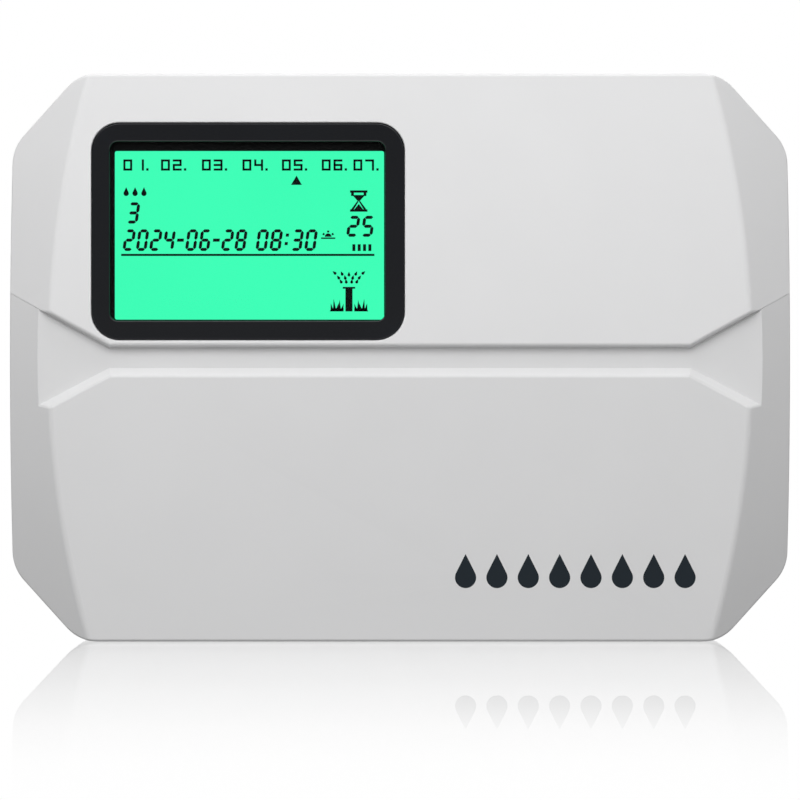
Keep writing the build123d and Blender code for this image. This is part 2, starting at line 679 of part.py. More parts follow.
# ---- Control panel and keys ----------------------------------------------------------------------
def key_places():
    """Name and x of every key, left to right."""
    middle = (len(KEY_NAMES) - 1) / 2
    return [(name, (i - middle) * KEY_PITCH) for i, name in enumerate(KEY_NAMES)]


def control_panel():
    """Inner fascia behind the door with the key holes and a raised rim round each."""
    span = block((-FAR, FAR), (PANEL_BACK, PANEL_Y), PANEL_Z)
    deck = slab(outline(PANEL_INSET), PANEL_BACK, PANEL_Y) & span
    for _, x in key_places():
        deck += rod(x, KEY_Z, KEY_RADIUS + KEY_CLEARANCE + 1.6, PANEL_Y, PANEL_Y - 0.8)
    for _, x in key_places():
        deck -= rod(x, KEY_Z, KEY_RADIUS + KEY_CLEARANCE, 0, -DEPTH)
    return deck - [rod(x, z, SCREW_RADIUS, 0, -DEPTH) for x, z in PANEL_SCREWS]


def control_panel_screws():
    return screw_set(PANEL_SCREWS, PANEL_Y, 8.0, 2.8, 1)


def key_cap(x):
    """Round key with a flange behind the panel and a stem that pushes the switch."""
    cap = rod(x, KEY_Z, KEY_RADIUS, KEY_FLANGE_Y[0], KEY_FACE_Y)
    cap = fillet(cap.faces().sort_by(Axis.Y)[0].edges(), 0.8)
    cap += rod(x, KEY_Z, KEY_FLANGE_RADIUS, *KEY_FLANGE_Y)
    return cap + rod(x, KEY_Z, KEY_STEM_RADIUS, PLUNGER_TOP_Y, KEY_FLANGE_Y[0])


def key_plunger(x):
    """Switch plunger held under the switch cover by its foot."""
    stem = rod(x, KEY_Z, PLUNGER_RADIUS, PLUNGER_FOOT_Y[0], PLUNGER_TOP_Y)
    return stem + rod(x, KEY_Z, PLUNGER_FOOT_RADIUS, *PLUNGER_FOOT_Y)


def switch_bodies():
    half = SWITCH_SIDE / 2
    bodies = []
    for _, x in key_places():
        body = block((x - half, x + half), (MAIN_BOARD_Y, SWITCH_BODY_Y), (KEY_Z - half, KEY_Z + half))
        bodies.append(body - rod(x, KEY_Z, PLUNGER_FOOT_RADIUS + 0.3, SWITCH_WELL_Y, -DEPTH))
    return group(bodies)


def switch_covers():
    half = SWITCH_SIDE / 2
    covers = []
    for _, x in key_places():
        plate = block((x - half, x + half), (SWITCH_BODY_Y, SWITCH_TOP_Y), (KEY_Z - half, KEY_Z + half))
        covers.append(plate - rod(x, KEY_Z, PLUNGER_RADIUS + PLUNGER_CLEARANCE, 0, -DEPTH))
    return group(covers)


# ---- Main board ----------------------------------------------------------------------------------
def main_board():
    return drilled_board(MAIN_BOARD_X, MAIN_BOARD_Y, MAIN_BOARD_Z, MAIN_SCREWS, SCREW_RADIUS)


def main_board_screws():
    return screw_set(MAIN_SCREWS, MAIN_BOARD_Y, 6.0, 2.8, 1)


def cover_screws():
    return screw_set(COVER_SCREWS, COVER_SCREW_SEAT_Y, 14.0, 2.7, -1)


def block_starts():
    """Left x of each terminal block."""
    widths = {name: poles * POLE_PITCH + BLOCK_MARGIN for name, poles in BLOCK_POLES.items()}
    x = -(sum(widths.values()) + BLOCK_GAP * (len(widths) - 1)) / 2
    starts = {}
    for name, width in widths.items():
        starts[name] = x
        x += width + BLOCK_GAP
    return starts


def pole_xs(name):
    """X of every pole of one terminal block."""
    first = block_starts()[name] + BLOCK_MARGIN / 2 + POLE_PITCH / 2
    return [first + i * POLE_PITCH for i in range(BLOCK_POLES[name])]


def terminal_block(name):
    """Screw terminal block: wire holes face down, screw wells face the front."""
    poles = pole_xs(name)
    half = POLE_PITCH / 2 + BLOCK_MARGIN / 2
    body = block((poles[0] - half, poles[-1] + half), (MAIN_BOARD_Y, TERMINAL_TOP_Y), TERMINAL_Z)
    body = chamfer(body.edges().filter_by(Axis.X).sort_by(Axis.Y)[:2], 1.2)
    for x in poles:
        hole_x = (x - WIRE_HOLE_HALF, x + WIRE_HOLE_HALF)
        hole_y = (WIRE_AXIS_Y - WIRE_HOLE_HALF, WIRE_AXIS_Y + WIRE_HOLE_HALF)
        body -= block(hole_x, hole_y, (TERMINAL_Z[0] - 1, TERMINAL_Z[0] + WIRE_HOLE_DEPTH))
        body -= rod(x, TERMINAL_SCREW_Z, SCREW_WELL_RADIUS, WIRE_AXIS_Y, -DEPTH)
    return body


def all_poles():
    return [x for name in BLOCK_POLES for x in pole_xs(name)]


CLAMP_HEAD_Y = (-18.6, -20.8)     # clamping screw: under the head, and its top
CLAMP_TIP_Y = -15.6
CLAMP_SLOT_Y = -20.0
CLAMP_SLOT_HALF = 0.35
CAGE_WALL = 0.5


def terminal_screws():
    """Slotted clamping screws in the wells."""
    slot_z = (TERMINAL_SCREW_Z - CLAMP_SLOT_HALF, TERMINAL_SCREW_Z + CLAMP_SLOT_HALF)
    screws = []
    for x in all_poles():
        head = rod(x, TERMINAL_SCREW_Z, SCREW_WELL_RADIUS - 0.2, *CLAMP_HEAD_Y)
        shank = rod(x, TERMINAL_SCREW_Z, CLAMP_SCREW_RADIUS, CLAMP_TIP_Y, CLAMP_HEAD_Y[0])
        slot = block((x - 3, x + 3), (CLAMP_SLOT_Y, CLAMP_HEAD_Y[1] - 1), slot_z)
        screws.append(head + shank - slot)
    return group(screws)


def terminal_clamps():
    """Metal cages in the wire holes."""
    low, high = TERMINAL_Z[0] + 2.0, TERMINAL_Z[0] + WIRE_HOLE_DEPTH - 0.2
    cages = []
    for x in all_poles():
        cage = square_bar(x, WIRE_HOLE_HALF - 0.1, low, high)
        cage -= square_bar(x, WIRE_HOLE_HALF - 0.1 - CAGE_WALL, low - 1, high + 1)
        cages.append(cage - rod(x, TERMINAL_SCREW_Z, CLAMP_SCREW_RADIUS, WIRE_AXIS_Y, -DEPTH))
    return group(cages)


def square_bar(x, half, low, high):
    """Square bar along Z on the axis of one wire hole."""
    return block((x - half, x + half), (WIRE_AXIS_Y - half, WIRE_AXIS_Y + half), (low, high))


TRIAC_Z = -38.0
TRIAC_RADIUS = 2.4
TRIAC_FLAT = 1.5              # from the triac's axis to its flat side
TRIAC_HEIGHT = (2.2, 7.0)     # bottom and top of its body above the board
LEAD_PITCH = 1.27
LEAD_HALF = 0.25
LEAD_Z = (TRIAC_Z - 0.3, TRIAC_Z + 0.2)


def zone_triacs():
    """One small switching device above each valve terminal but the last."""
    devices = []
    for x in pole_xs("valve_terminal")[:-1]:
        flat = Pos(x, TRIAC_Z + TRIAC_FLAT + TRIAC_RADIUS) * Rectangle(3 * TRIAC_RADIUS, 2 * TRIAC_RADIUS)
        profile = Pos(x, TRIAC_Z) * Circle(TRIAC_RADIUS) - flat
        body = slab(profile, *[MAIN_BOARD_Y - height for height in TRIAC_HEIGHT])
        for lead_x in (x - LEAD_PITCH, x, x + LEAD_PITCH):
            lead = (lead_x - LEAD_HALF, lead_x + LEAD_HALF)
            body += block(lead, (MAIN_BOARD_Y, MAIN_BOARD_Y - TRIAC_HEIGHT[0] - 0.8), LEAD_Z)
        devices.append(body)
    return group(devices)


FUSE_Z = -38.0
FUSE_X = (-56.0, -36.0)
FUSE_Y = MAIN_BOARD_Y - 4.4
FUSE_RADIUS = 2.6
FUSE_CAP = 5.0                # length of each metal cap
CLIP_WIDTH = 4.0
CLIP_INSET = 0.5              # from the end of the fuse to its clip


def fuse_tube():
    return rod_x(FUSE_Y, FUSE_Z, FUSE_RADIUS - 0.2, FUSE_X[0] + FUSE_CAP, FUSE_X[1] - FUSE_CAP)


def fuse_caps():
    left = rod_x(FUSE_Y, FUSE_Z, FUSE_RADIUS, FUSE_X[0], FUSE_X[0] + FUSE_CAP)
    right = rod_x(FUSE_Y, FUSE_Z, FUSE_RADIUS, FUSE_X[1] - FUSE_CAP, FUSE_X[1])
    return group([left, right])


def fuse_clips():
    """Two open spring clips that stand on the board."""
    clips = []
    reach = FUSE_RADIUS + 0.6
    for x in (FUSE_X[0] + CLIP_INSET, FUSE_X[1] - CLIP_INSET - CLIP_WIDTH):
        through = (x - 1, x + CLIP_WIDTH + 1)
        clip = block((x, x + CLIP_WIDTH), (MAIN_BOARD_Y, FUSE_Y - 1.8), (FUSE_Z - reach, FUSE_Z + reach))
        clip -= rod_x(FUSE_Y, FUSE_Z, FUSE_RADIUS + 0.03, *through)
        clips.append(clip - block(through, (FUSE_Y, -DEPTH), (FUSE_Z - 2.0, FUSE_Z + 2.0)))
    return group(clips)


CAPACITORS = [(52.0, 8.0, 22.0), (32.0, 5.0, 14.0)]     # x, radius and height
CAPACITOR_Z = 30.0
GROOVE_HEIGHT = 3.0           # of the groove, above the board


def filter_capacitors():
    """Two upright electrolytic capacitors with a groove near the foot."""
    cans = []
    for x, radius, height in CAPACITORS:
        can = rod(x, CAPACITOR_Z, radius, MAIN_BOARD_Y, MAIN_BOARD_Y - height)
        can = fillet(can.faces().sort_by(Axis.Y)[0].edges(), 0.8)
        groove = Pos(x, MAIN_BOARD_Y - GROOVE_HEIGHT, CAPACITOR_Z) * Rot(90, 0, 0) * Torus(radius + 0.3, 0.8)
        cans.append(can - groove)
    return group(cans)


RECTIFIER_X = (66.0, 80.0)
RECTIFIER_Z = (24.0, 28.0)
RECTIFIER_PINS = (68.0, 71.0, 75.0, 78.0)


def bridge_rectifier():
    """Flat package on four pins."""
    body = block(RECTIFIER_X, (MAIN_BOARD_Y - 1, MAIN_BOARD_Y - 12), RECTIFIER_Z)
    return body + pin_row(RECTIFIER_PINS, sum(RECTIFIER_Z) / 2, 2.0)


def pin_row(xs, z, height):
    """Square pins that stand on the board."""
    half = 0.4
    y = (MAIN_BOARD_Y, MAIN_BOARD_Y - height)
    return [block((x - half, x + half), y, (z - half, z + half)) for x in xs]


VARISTOR_PLACE = (14.0, 28.0)
VARISTOR_RADIUS = 6.0
VARISTOR_THICK = 4.0


def varistor():
    """Disc on two leads."""
    x, z = VARISTOR_PLACE
    centre = (x, MAIN_BOARD_Y - VARISTOR_RADIUS - 2, z)
    disc = Plane(origin=centre, z_dir=(0, 0, 1)) * Cylinder(VARISTOR_RADIUS, VARISTOR_THICK)
    return fillet(disc.edges(), 1.2) + pin_row((x - 2.5, x + 2.5), z, 5.0)


INDUCTOR_PLACE = (66.0, 6.0)
INDUCTOR_RADIUS = 5.0
INDUCTOR_HEIGHT = 8.0
INDUCTOR_FLANGE = 1.5


def inductor():
    """Wound drum core."""
    core = rod(*INDUCTOR_PLACE, INDUCTOR_RADIUS, MAIN_BOARD_Y, MAIN_BOARD_Y - INDUCTOR_HEIGHT)
    waist_y = (MAIN_BOARD_Y - INDUCTOR_FLANGE, MAIN_BOARD_Y - INDUCTOR_HEIGHT + INDUCTOR_FLANGE)
    waist = rod(*INDUCTOR_PLACE, INDUCTOR_RADIUS + 1, *waist_y)
    return core - (waist - rod(*INDUCTOR_PLACE, INDUCTOR_RADIUS - 0.8, 0, -DEPTH))


CHIPS = [                     # x, z, width, height and legs on each side
    (0.0, 0.0, 12.0, 12.0, 10),
    (-22.0, 0.0, 6.0, 5.0, 4),
    (-20.0, -37.0, 9.0, 8.0, 6),
]


def controller_chips():
    """Main controller, memory and driver."""
    return group([chip(*place) for place in CHIPS])


def chip(x, z, width, height, legs):
    """Flat package with legs on its left and right sides."""
    low, wide, step = z - height / 2, width / 2, height / legs
    body = block((x - wide, x + wide), (MAIN_BOARD_Y - 0.2, MAIN_BOARD_Y - 1.8), (low, low + height))
    for i in range(legs):
        leg_z = (low + (i + 0.3) * step, low + (i + 0.7) * step)
        body += block((x - wide - 1, x + wide + 1), (MAIN_BOARD_Y, MAIN_BOARD_Y - 0.5), leg_z)
    return body


CRYSTAL_PLACE = (18.0, 0.0)
CRYSTAL_SIZE = (10.5, 4.4, 3.5)


def crystal():
    length, width, height = CRYSTAL_SIZE
    can = slab(Pos(*CRYSTAL_PLACE) * SlotOverall(length, width), MAIN_BOARD_Y, MAIN_BOARD_Y - height)
    return fillet(can.faces().sort_by(Axis.Y)[0].edges(), 0.6)


RADIO_X = (-72.0, -50.0)
RADIO_Z = (18.0, 42.0)
RADIO_TOP_Y = MAIN_BOARD_Y - 0.9
SHIELD_X = (RADIO_X[0] + 2, RADIO_X[1] - 2)
SHIELD_Z = (19.5, 34.5)       # the rest of the module is its aerial
SHIELD_HEIGHT = 2.3


def radio_module():
    return block(RADIO_X, (MAIN_BOARD_Y, RADIO_TOP_Y), RADIO_Z)


def radio_shield():
    can = block(SHIELD_X, (RADIO_TOP_Y, RADIO_TOP_Y - SHIELD_HEIGHT), SHIELD_Z)
    return fillet(can.edges().filter_by(Axis.Y), 0.8)


CELL_PLACE = (-50.0, 0.0)
CELL_RADIUS = 10.0
CELL_SEAT_Y = MAIN_BOARD_Y - 1.2
CELL_THICK = 3.2


def cell_holder():
    """Open ring holder for a coin cell."""
    x, z = CELL_PLACE
    body = rod(x, z, CELL_RADIUS + 1.8, MAIN_BOARD_Y, MAIN_BOARD_Y - 4.6)
    body -= rod(x, z, CELL_RADIUS + 0.1, CELL_SEAT_Y, -DEPTH)
    return body - block((x + 4, x + 15), (CELL_SEAT_Y, -DEPTH), (z - 5, z + 5))


def backup_cell():
    cell = rod(*CELL_PLACE, CELL_RADIUS, CELL_SEAT_Y, CELL_SEAT_Y - CELL_THICK)
    return fillet(cell.faces().sort_by(Axis.Y)[0].edges(), 0.4)


BUZZER_PLACE = (44.0, 2.0)
BUZZER_RADIUS = 6.0
BUZZER_HEIGHT = 7.5


def buzzer():
    """Round case with a small sound hole."""
    body = rod(*BUZZER_PLACE, BUZZER_RADIUS, MAIN_BOARD_Y, MAIN_BOARD_Y - BUZZER_HEIGHT)
    body = fillet(body.faces().sort_by(Axis.Y)[0].edges(), 0.5)
    return body - rod(*BUZZER_PLACE, 1.2, MAIN_BOARD_Y - 5, -DEPTH)


# ---- Assembly ------------------------------------------------------------------------------------
def all_parts():
    """Every node of the controller, by name."""
    front, hollow = front_shape(), front_hollow()
    parts = {
        "upper_cover": upper_cover(front, hollow),
        "lower_door": lower_door(front, hollow),
        "front_emblem": group([emblem_slab()]),
        "zone_chart": zone_chart(),
        "hinge_pins": hinge_pins(),
        "rear_housing": rear_housing(),
        "lead_grommet": lead_grommet(),
        "rating_label": rating_label(),
        "cover_screws": cover_screws(),
        "display_bezel": display_bezel(),
        "display_window": display_window(),
        "lcd_frame": lcd_frame(),
        "lcd_panel": lcd_panel(),
        "lcd_backlight": lcd_backlight(),
        "lcd_contact_strip": lcd_contact_strip(),
        "display_board": display_board(),
        "display_board_screws": display_board_screws(),
        "display_ribbon": display_ribbon(),
        "ribbon_connectors": ribbon_connectors(),
        "control_panel": control_panel(),
        "control_panel_screws": control_panel_screws(),
        "switch_bodies": switch_bodies(),
        "switch_covers": switch_covers(),
        "main_board": main_board(),
        "main_board_screws": main_board_screws(),
        "terminal_screws": terminal_screws(),
        "terminal_clamps": terminal_clamps(),
        "zone_triacs": zone_triacs(),
        "fuse_tube": fuse_tube(),
        "fuse_caps": fuse_caps(),
        "fuse_clips": fuse_clips(),
        "filter_capacitors": filter_capacitors(),
        "bridge_rectifier": bridge_rectifier(),
        "varistor": varistor(),
        "inductor": inductor(),
        "controller_chips": controller_chips(),
        "crystal": crystal(),
        "radio_module": radio_module(),
        "radio_shield": radio_shield(),
        "cell_holder": cell_holder(),
        "backup_cell": backup_cell(),
        "buzzer": buzzer(),
    }
    for name, x in key_places():
        parts[f"key_{name}"] = key_cap(x)
        parts[f"plunger_{name}"] = key_plunger(x)
    for name in BLOCK_POLES:
        parts[name] = terminal_block(name)
    return parts


os.makedirs("parts", exist_ok=True)
for part_name, shape in all_parts().items():
    export_step(shape, f"parts/{part_name}.step")
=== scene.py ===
"""Looks of the wall-mounted irrigation controller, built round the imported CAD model.

Metres, in the row frame: +X right, +Y into the wall, +Z up. The front faces -Y.
"""

import json
from math import cos, pi, radians, sin

import bmesh
import bpy
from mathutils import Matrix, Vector


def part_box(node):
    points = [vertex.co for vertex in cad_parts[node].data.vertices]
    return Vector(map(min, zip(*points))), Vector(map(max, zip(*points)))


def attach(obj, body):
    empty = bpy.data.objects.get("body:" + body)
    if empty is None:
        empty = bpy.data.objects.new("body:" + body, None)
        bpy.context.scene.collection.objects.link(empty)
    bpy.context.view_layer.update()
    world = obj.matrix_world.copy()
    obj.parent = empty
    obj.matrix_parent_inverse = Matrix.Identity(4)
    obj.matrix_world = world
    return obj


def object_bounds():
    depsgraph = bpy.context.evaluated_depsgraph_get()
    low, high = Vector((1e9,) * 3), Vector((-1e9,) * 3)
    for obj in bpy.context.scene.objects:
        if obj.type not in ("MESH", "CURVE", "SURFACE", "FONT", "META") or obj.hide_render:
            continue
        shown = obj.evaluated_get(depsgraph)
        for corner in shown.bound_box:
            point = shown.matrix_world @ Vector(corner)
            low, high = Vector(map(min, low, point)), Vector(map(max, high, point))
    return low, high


MM = 0.001

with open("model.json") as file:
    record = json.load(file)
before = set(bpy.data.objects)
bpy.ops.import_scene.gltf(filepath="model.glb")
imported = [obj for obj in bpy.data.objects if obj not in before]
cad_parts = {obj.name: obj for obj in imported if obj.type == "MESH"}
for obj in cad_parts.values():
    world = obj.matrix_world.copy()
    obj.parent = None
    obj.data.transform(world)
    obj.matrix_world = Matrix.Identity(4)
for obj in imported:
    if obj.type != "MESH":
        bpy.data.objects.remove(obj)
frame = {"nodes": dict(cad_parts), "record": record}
cad_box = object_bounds()
nodes = frame["nodes"]


# ---- Camera, floor and light ---------------------------------------------------------------------
CAMERA_DISTANCE = 2.0         # from the case's front face
CAMERA_HEIGHT = -0.0119
VIEW_WIDTH = 0.2245           # width of the picture at the front face
SENSOR = 36.0
FLOOR_Z = cad_box[0][2] - 0.00005
FLOOR_HALF = 6.0
LAMPS = [                     # name, place, target, size and power
    ("front", (-0.05, -0.50, 0.34), (0.0, -0.05, 0.0), (0.80, 0.36), 2.6),
    ("top", (0.0, -0.28, 0.85), (0.0, -0.05, 0.0), (0.60, 0.30), 0.9),
    ("back", (0.10, 0.60, 0.40), (0.0, 0.0, 0.0), (0.80, 0.40), 1.6),
]
WORLD_RAMP = [                # light from straight below (0) to straight above (1)
    (0.0, 0.22),
    (0.45, 0.30),
    (0.60, 0.42),
    (1.0, 0.50),
]
REFLECTION_RAMP = [           # share of reflection against metres from the case
    (0.0, 0.40),
    (0.05, 0.52),
    (0.10, 0.44),
    (0.187, 0.36),
    (0.265, 0.31),
    (0.337, 0.24),
    (0.404, 0.19),
    (0.522, 0.09),
    (0.665, 0.02),
    (0.80, 0.0),
]


def aim(obj, target):
    """Turn a camera or lamp to look at a point."""
    direction = Vector(target) - obj.location
    obj.rotation_euler = direction.to_track_quat("-Z", "Y").to_euler()


def make_camera():
    """Level camera in front of the case, a little below its middle."""
    data = bpy.data.cameras.new("camera")
    data.sensor_width = SENSOR
    data.lens = SENSOR * CAMERA_DISTANCE / VIEW_WIDTH
    data.clip_end = 20.0
    camera = bpy.data.objects.new("camera", data)
    camera.location = (0.0, cad_box[0][1] - CAMERA_DISTANCE, CAMERA_HEIGHT)
    camera.rotation_euler = (pi / 2, 0.0, 0.0)
    bpy.context.scene.collection.objects.link(camera)
    bpy.context.scene.camera = camera


def softbox(name, place, target, size, power):
    """Large rectangular lamp."""
    data = bpy.data.lights.new(name, "AREA")
    data.shape = "RECTANGLE"
    data.size, data.size_y = size
    data.energy = power
    lamp = bpy.data.objects.new(name, data)
    lamp.location = place
    aim(lamp, target)
    lamp.visible_camera = False
    bpy.context.scene.collection.objects.link(lamp)


def add_node(tree, kind, **values):
    """New node with its input sockets set; an underscore stands for a space in a socket's name."""
    made = tree.nodes.new(kind)
    for socket, value in values.items():
        made.inputs[socket.replace("_", " ")].default_value = value
    return made


def math_node(tree, operation, first, second):
    """Math node of two sockets or numbers; returns its output."""
    made = add_node(tree, "ShaderNodeMath")
    made.operation = operation
    for socket, value in enumerate((first, second)):
        if isinstance(value, bpy.types.NodeSocket):
            tree.links.new(value, made.inputs[socket])
        else:
            made.inputs[socket].default_value = value
    return made.outputs[0]


def ramp_node(tree, source, stops):
    """Colour ramp from (position, colour) pairs; a colour may be a number for grey."""
    made = add_node(tree, "ShaderNodeValToRGB")
    elements = made.color_ramp.elements
    while len(elements) < len(stops):
        elements.new(0.5)
    for element, (position, colour) in zip(elements, stops):
        element.position = position
        grey = (colour,) * 3 if isinstance(colour, (int, float)) else colour
        element.color = (*grey, 1.0)
    tree.links.new(source, made.inputs["Fac"])
    return made.outputs["Color"]


def blend(tree, share, first, second):
    """Mix of two shaders by the socket `share`; returns its output."""
    made = add_node(tree, "ShaderNodeMixShader")
    for socket, source in enumerate((share, first, second)):
        tree.links.new(source, made.inputs[socket])
    return made.outputs[0]


def outside(tree, value, low, high):
    """How far a value lies outside a range."""
    below = math_node(tree, "SUBTRACT", low, value)
    above = math_node(tree, "SUBTRACT", value, high)
    return math_node(tree, "MAXIMUM", math_node(tree, "MAXIMUM", below, above), 0.0)


def make_world():
    """White to look at; for the light it gives, bright above and dimmer below."""
    world = bpy.data.worlds.new("studio")
    world.use_nodes = True
    bpy.context.scene.world = world
    tree = world.node_tree
    tree.nodes.clear()
    place = add_node(tree, "ShaderNodeTexCoord")
    split = add_node(tree, "ShaderNodeSeparateXYZ")
    tree.links.new(place.outputs["Generated"], split.inputs[0])
    upward = add_node(tree, "ShaderNodeMapRange", From_Min=-1.0, From_Max=1.0)
    tree.links.new(split.outputs["Z"], upward.inputs["Value"])
    light = add_node(tree, "ShaderNodeBackground")
    tree.links.new(ramp_node(tree, upward.outputs["Result"], WORLD_RAMP), light.inputs["Color"])
    seen = add_node(tree, "ShaderNodeBackground", Color=(1, 1, 1, 1))
    rays = add_node(tree, "ShaderNodeLightPath").outputs
    clear = math_node(tree, "MAXIMUM", rays["Is Camera Ray"], rays["Is Singular Ray"])
    output = add_node(tree, "ShaderNodeOutputWorld")
    tree.links.new(blend(tree, clear, light.outputs[0], seen.outputs[0]), output.inputs[0])


def make_floor():
    """Large flat floor under the case."""
    mesh = bpy.data.meshes.new("floor")
    signs = ((-1, -1), (1, -1), (1, 1), (-1, 1))
    corners = [(x * FLOOR_HALF, y * FLOOR_HALF, FLOOR_Z) for x, y in signs]
    mesh.from_pydata(corners, [], [(0, 1, 2, 3)])
    mesh.materials.append(floor_gloss())
    floor = bpy.data.objects.new("floor", mesh)
    bpy.context.scene.collection.objects.link(floor)
    floor.visible_diffuse = False


def floor_gloss():
    """Pale gloss whose reflection fades away from the case.

    To look at, it is clear over the white world, so that an open door that hangs below it still shows.
    """
    material = bpy.data.materials.new("floor_gloss")
    material.use_nodes = True
    tree = material.node_tree
    tree.nodes.clear()
    white = add_node(tree, "ShaderNodeEmission")
    clear = add_node(tree, "ShaderNodeBsdfTransparent")
    rays = add_node(tree, "ShaderNodeLightPath").outputs
    base = blend(tree, rays["Is Camera Ray"], white.outputs[0], clear.outputs[0])
    gloss = add_node(tree, "ShaderNodeBsdfGlossy", Roughness=0.0, Color=(1, 1, 1, 1))
    share = ramp_node(tree, distance_from_case(tree), REFLECTION_RAMP)
    output = add_node(tree, "ShaderNodeOutputMaterial")
    tree.links.new(blend(tree, share, base, gloss.outputs[0]), output.inputs[0])
    return material


def distance_from_case(tree):
    """Distance along the floor from the case's box, in metres."""
    place = add_node(tree, "ShaderNodeNewGeometry")
    split = add_node(tree, "ShaderNodeSeparateXYZ")
    tree.links.new(place.outputs["Position"], split.inputs[0])
    low, high = cad_box
    gaps = [outside(tree, split.outputs["XY"[axis]], low[axis], high[axis]) for axis in (0, 1)]
    squares = [math_node(tree, "POWER", gap, 2.0) for gap in gaps]
    return math_node(tree, "SQRT", math_node(tree, "ADD", *squares), 0.0)


# ---- Materials -----------------------------------------------------------------------------------
class Surface:
    """A material under construction, with the coordinates of its own object."""

    def __init__(self, name, roughness=0.5, metallic=0.0):
        self.material = bpy.data.materials.new(name)
        self.material.use_nodes = True
        self.tree = self.material.node_tree
        self.shader = self.tree.nodes["Principled BSDF"]
        self.shader.inputs["Metallic"].default_value = metallic
        self.shader.inputs["Roughness"].default_value = roughness
        self.place = self.node("ShaderNodeTexCoord").outputs["Object"]

    def node(self, kind, **values):
        return add_node(self.tree, kind, **values)

    def link(self, source, target):
        self.tree.links.new(source, target)

    def noise(self, scale, detail=3.0, stretch=(1, 1, 1)):
        """Noise with about `scale` cells per metre."""
        mapping = self.node("ShaderNodeMapping", Scale=stretch)
        self.link(self.place, mapping.inputs["Vector"])
        made = self.node("ShaderNodeTexNoise", Scale=scale, Detail=detail)
        self.link(mapping.outputs[0], made.inputs["Vector"])
        return made.outputs["Fac"]

    def ramp(self, source, stops):
        return ramp_node(self.tree, source, stops)

    def mix(self, factor, first, second):
        """Colour mix of two sockets or constants."""
        made = self.tree.nodes.new("ShaderNodeMix")
        made.data_type = "RGBA"
        for socket, value in ((0, factor), (6, first), (7, second)):
            if isinstance(value, bpy.types.NodeSocket):
                self.link(value, made.inputs[socket])
            else:
                made.inputs[socket].default_value = value if socket == 0 else (*value, 1.0)
        return made.outputs[2]

    def math(self, operation, first, second):
        return math_node(self.tree, operation, first, second)

    def colour(self, source):
        self.link(source, self.shader.inputs["Base Color"])

    def roughness(self, source, low, high):
        """Roughness between two values, driven by a 0 to 1 socket."""
        made = self.node("ShaderNodeMapRange", To_Min=low, To_Max=high)
        self.link(source, made.inputs["Value"])
        self.link(made.outputs["Result"], self.shader.inputs["Roughness"])

    def bump(self, height, depth, strength=1.0):
        """Bump whose full height is `depth` metres."""
        made = self.node("ShaderNodeBump", Strength=strength, Distance=depth, Height=0.0)
        self.link(height, made.inputs["Height"])
        self.link(made.outputs["Normal"], self.shader.inputs["Normal"])

    def edges(self):
        """1 on convex edges, 0.5 on flats, 0 in creases."""
        return self.node("ShaderNodeNewGeometry").outputs["Pointiness"]


def shade(colour, factor):
    return tuple(min(1.0, channel * factor) for channel in colour)


def plastic(name, colour, low, high, grain=2600.0, depth=0.00001, variation=0.03, worn=1.05, specular=0.5):
    """Moulded plastic: cloudy tone, fine spark-eroded grain and slightly lighter edges.

    Roughness runs from low to high; grain is cells per metre and depth the height of its bump.
    Variation is the share that the tone wanders, and worn the factor of the tone at the edges.
    """
    surface = Surface(name)
    surface.shader.inputs["Specular IOR Level"].default_value = specular
    cloud = surface.noise(38.0, 4.0)
    tone = surface.ramp(cloud, [(0.35, shade(colour, 1 - variation)), (0.65, shade(colour, 1 + variation))])
    rim = surface.ramp(surface.edges(), [(0.50, 0.0), (0.56, 1.0)])
    surface.colour(surface.mix(surface.math("MULTIPLY", rim, 0.5), tone, shade(colour, worn)))
    fine = surface.noise(grain, 2.0)
    gloss = surface.math("ADD", surface.math("MULTIPLY", fine, 0.6), surface.math("MULTIPLY", cloud, 0.4))
    surface.roughness(gloss, low, high)
    surface.bump(fine, depth, 0.6)
    return surface.material


def metal(name, colour, low, high, stretch=(1, 1, 1), scale=900.0):
    """Plated or rolled metal with fine lines along one direction."""
    surface = Surface(name, metallic=1.0)
    lines = surface.noise(scale, 4.0, stretch)
    cloud = surface.noise(120.0, 3.0)
    surface.colour(surface.mix(cloud, shade(colour, 0.86), shade(colour, 1.08)))
    surface.roughness(lines, low, high)
    surface.bump(lines, 0.000012, 0.5)
    return surface.material


def circuit_board(name):
    """Solder mask over copper tracks, with tinned pads."""
    surface = Surface(name, roughness=0.35)
    mapping = surface.node("ShaderNodeMapping", Rotation=(pi / 2, 0, 0))
    surface.link(surface.place, mapping.inputs["Vector"])
    brick = surface.node("ShaderNodeTexBrick", Scale=160.0, Mortar_Size=0.05, Bias=-0.2)
    brick.inputs["Color1"].default_value = (0.0, 0.0, 0.0, 1)
    brick.inputs["Color2"].default_value = (0.25, 0.25, 0.25, 1)
    brick.inputs["Mortar"].default_value = (1, 1, 1, 1)
    surface.link(mapping.outputs[0], brick.inputs["Vector"])
    cell = surface.node("ShaderNodeTexVoronoi", Scale=330.0, Randomness=0.35)
    surface.link(surface.place, cell.inputs["Vector"])
    pads = surface.ramp(cell.outputs["Distance"], [(0.16, 1.0), (0.19, 0.0)])
    mask = surface.mix(brick.outputs["Color"], (0.008, 0.085, 0.035), (0.02, 0.17, 0.07))
    surface.colour(surface.mix(pads, mask, (0.62, 0.62, 0.58)))
    surface.roughness(pads, 0.30, 0.42)
    surface.bump(brick.outputs["Color"], 0.00003, 0.5)
    return surface.material


LCD_GREEN = (0.048, 1.0, 0.478)
LCD_GREEN_DIM = (0.044, 0.96, 0.455)
LCD_GLOW = 1.09               # emission strength


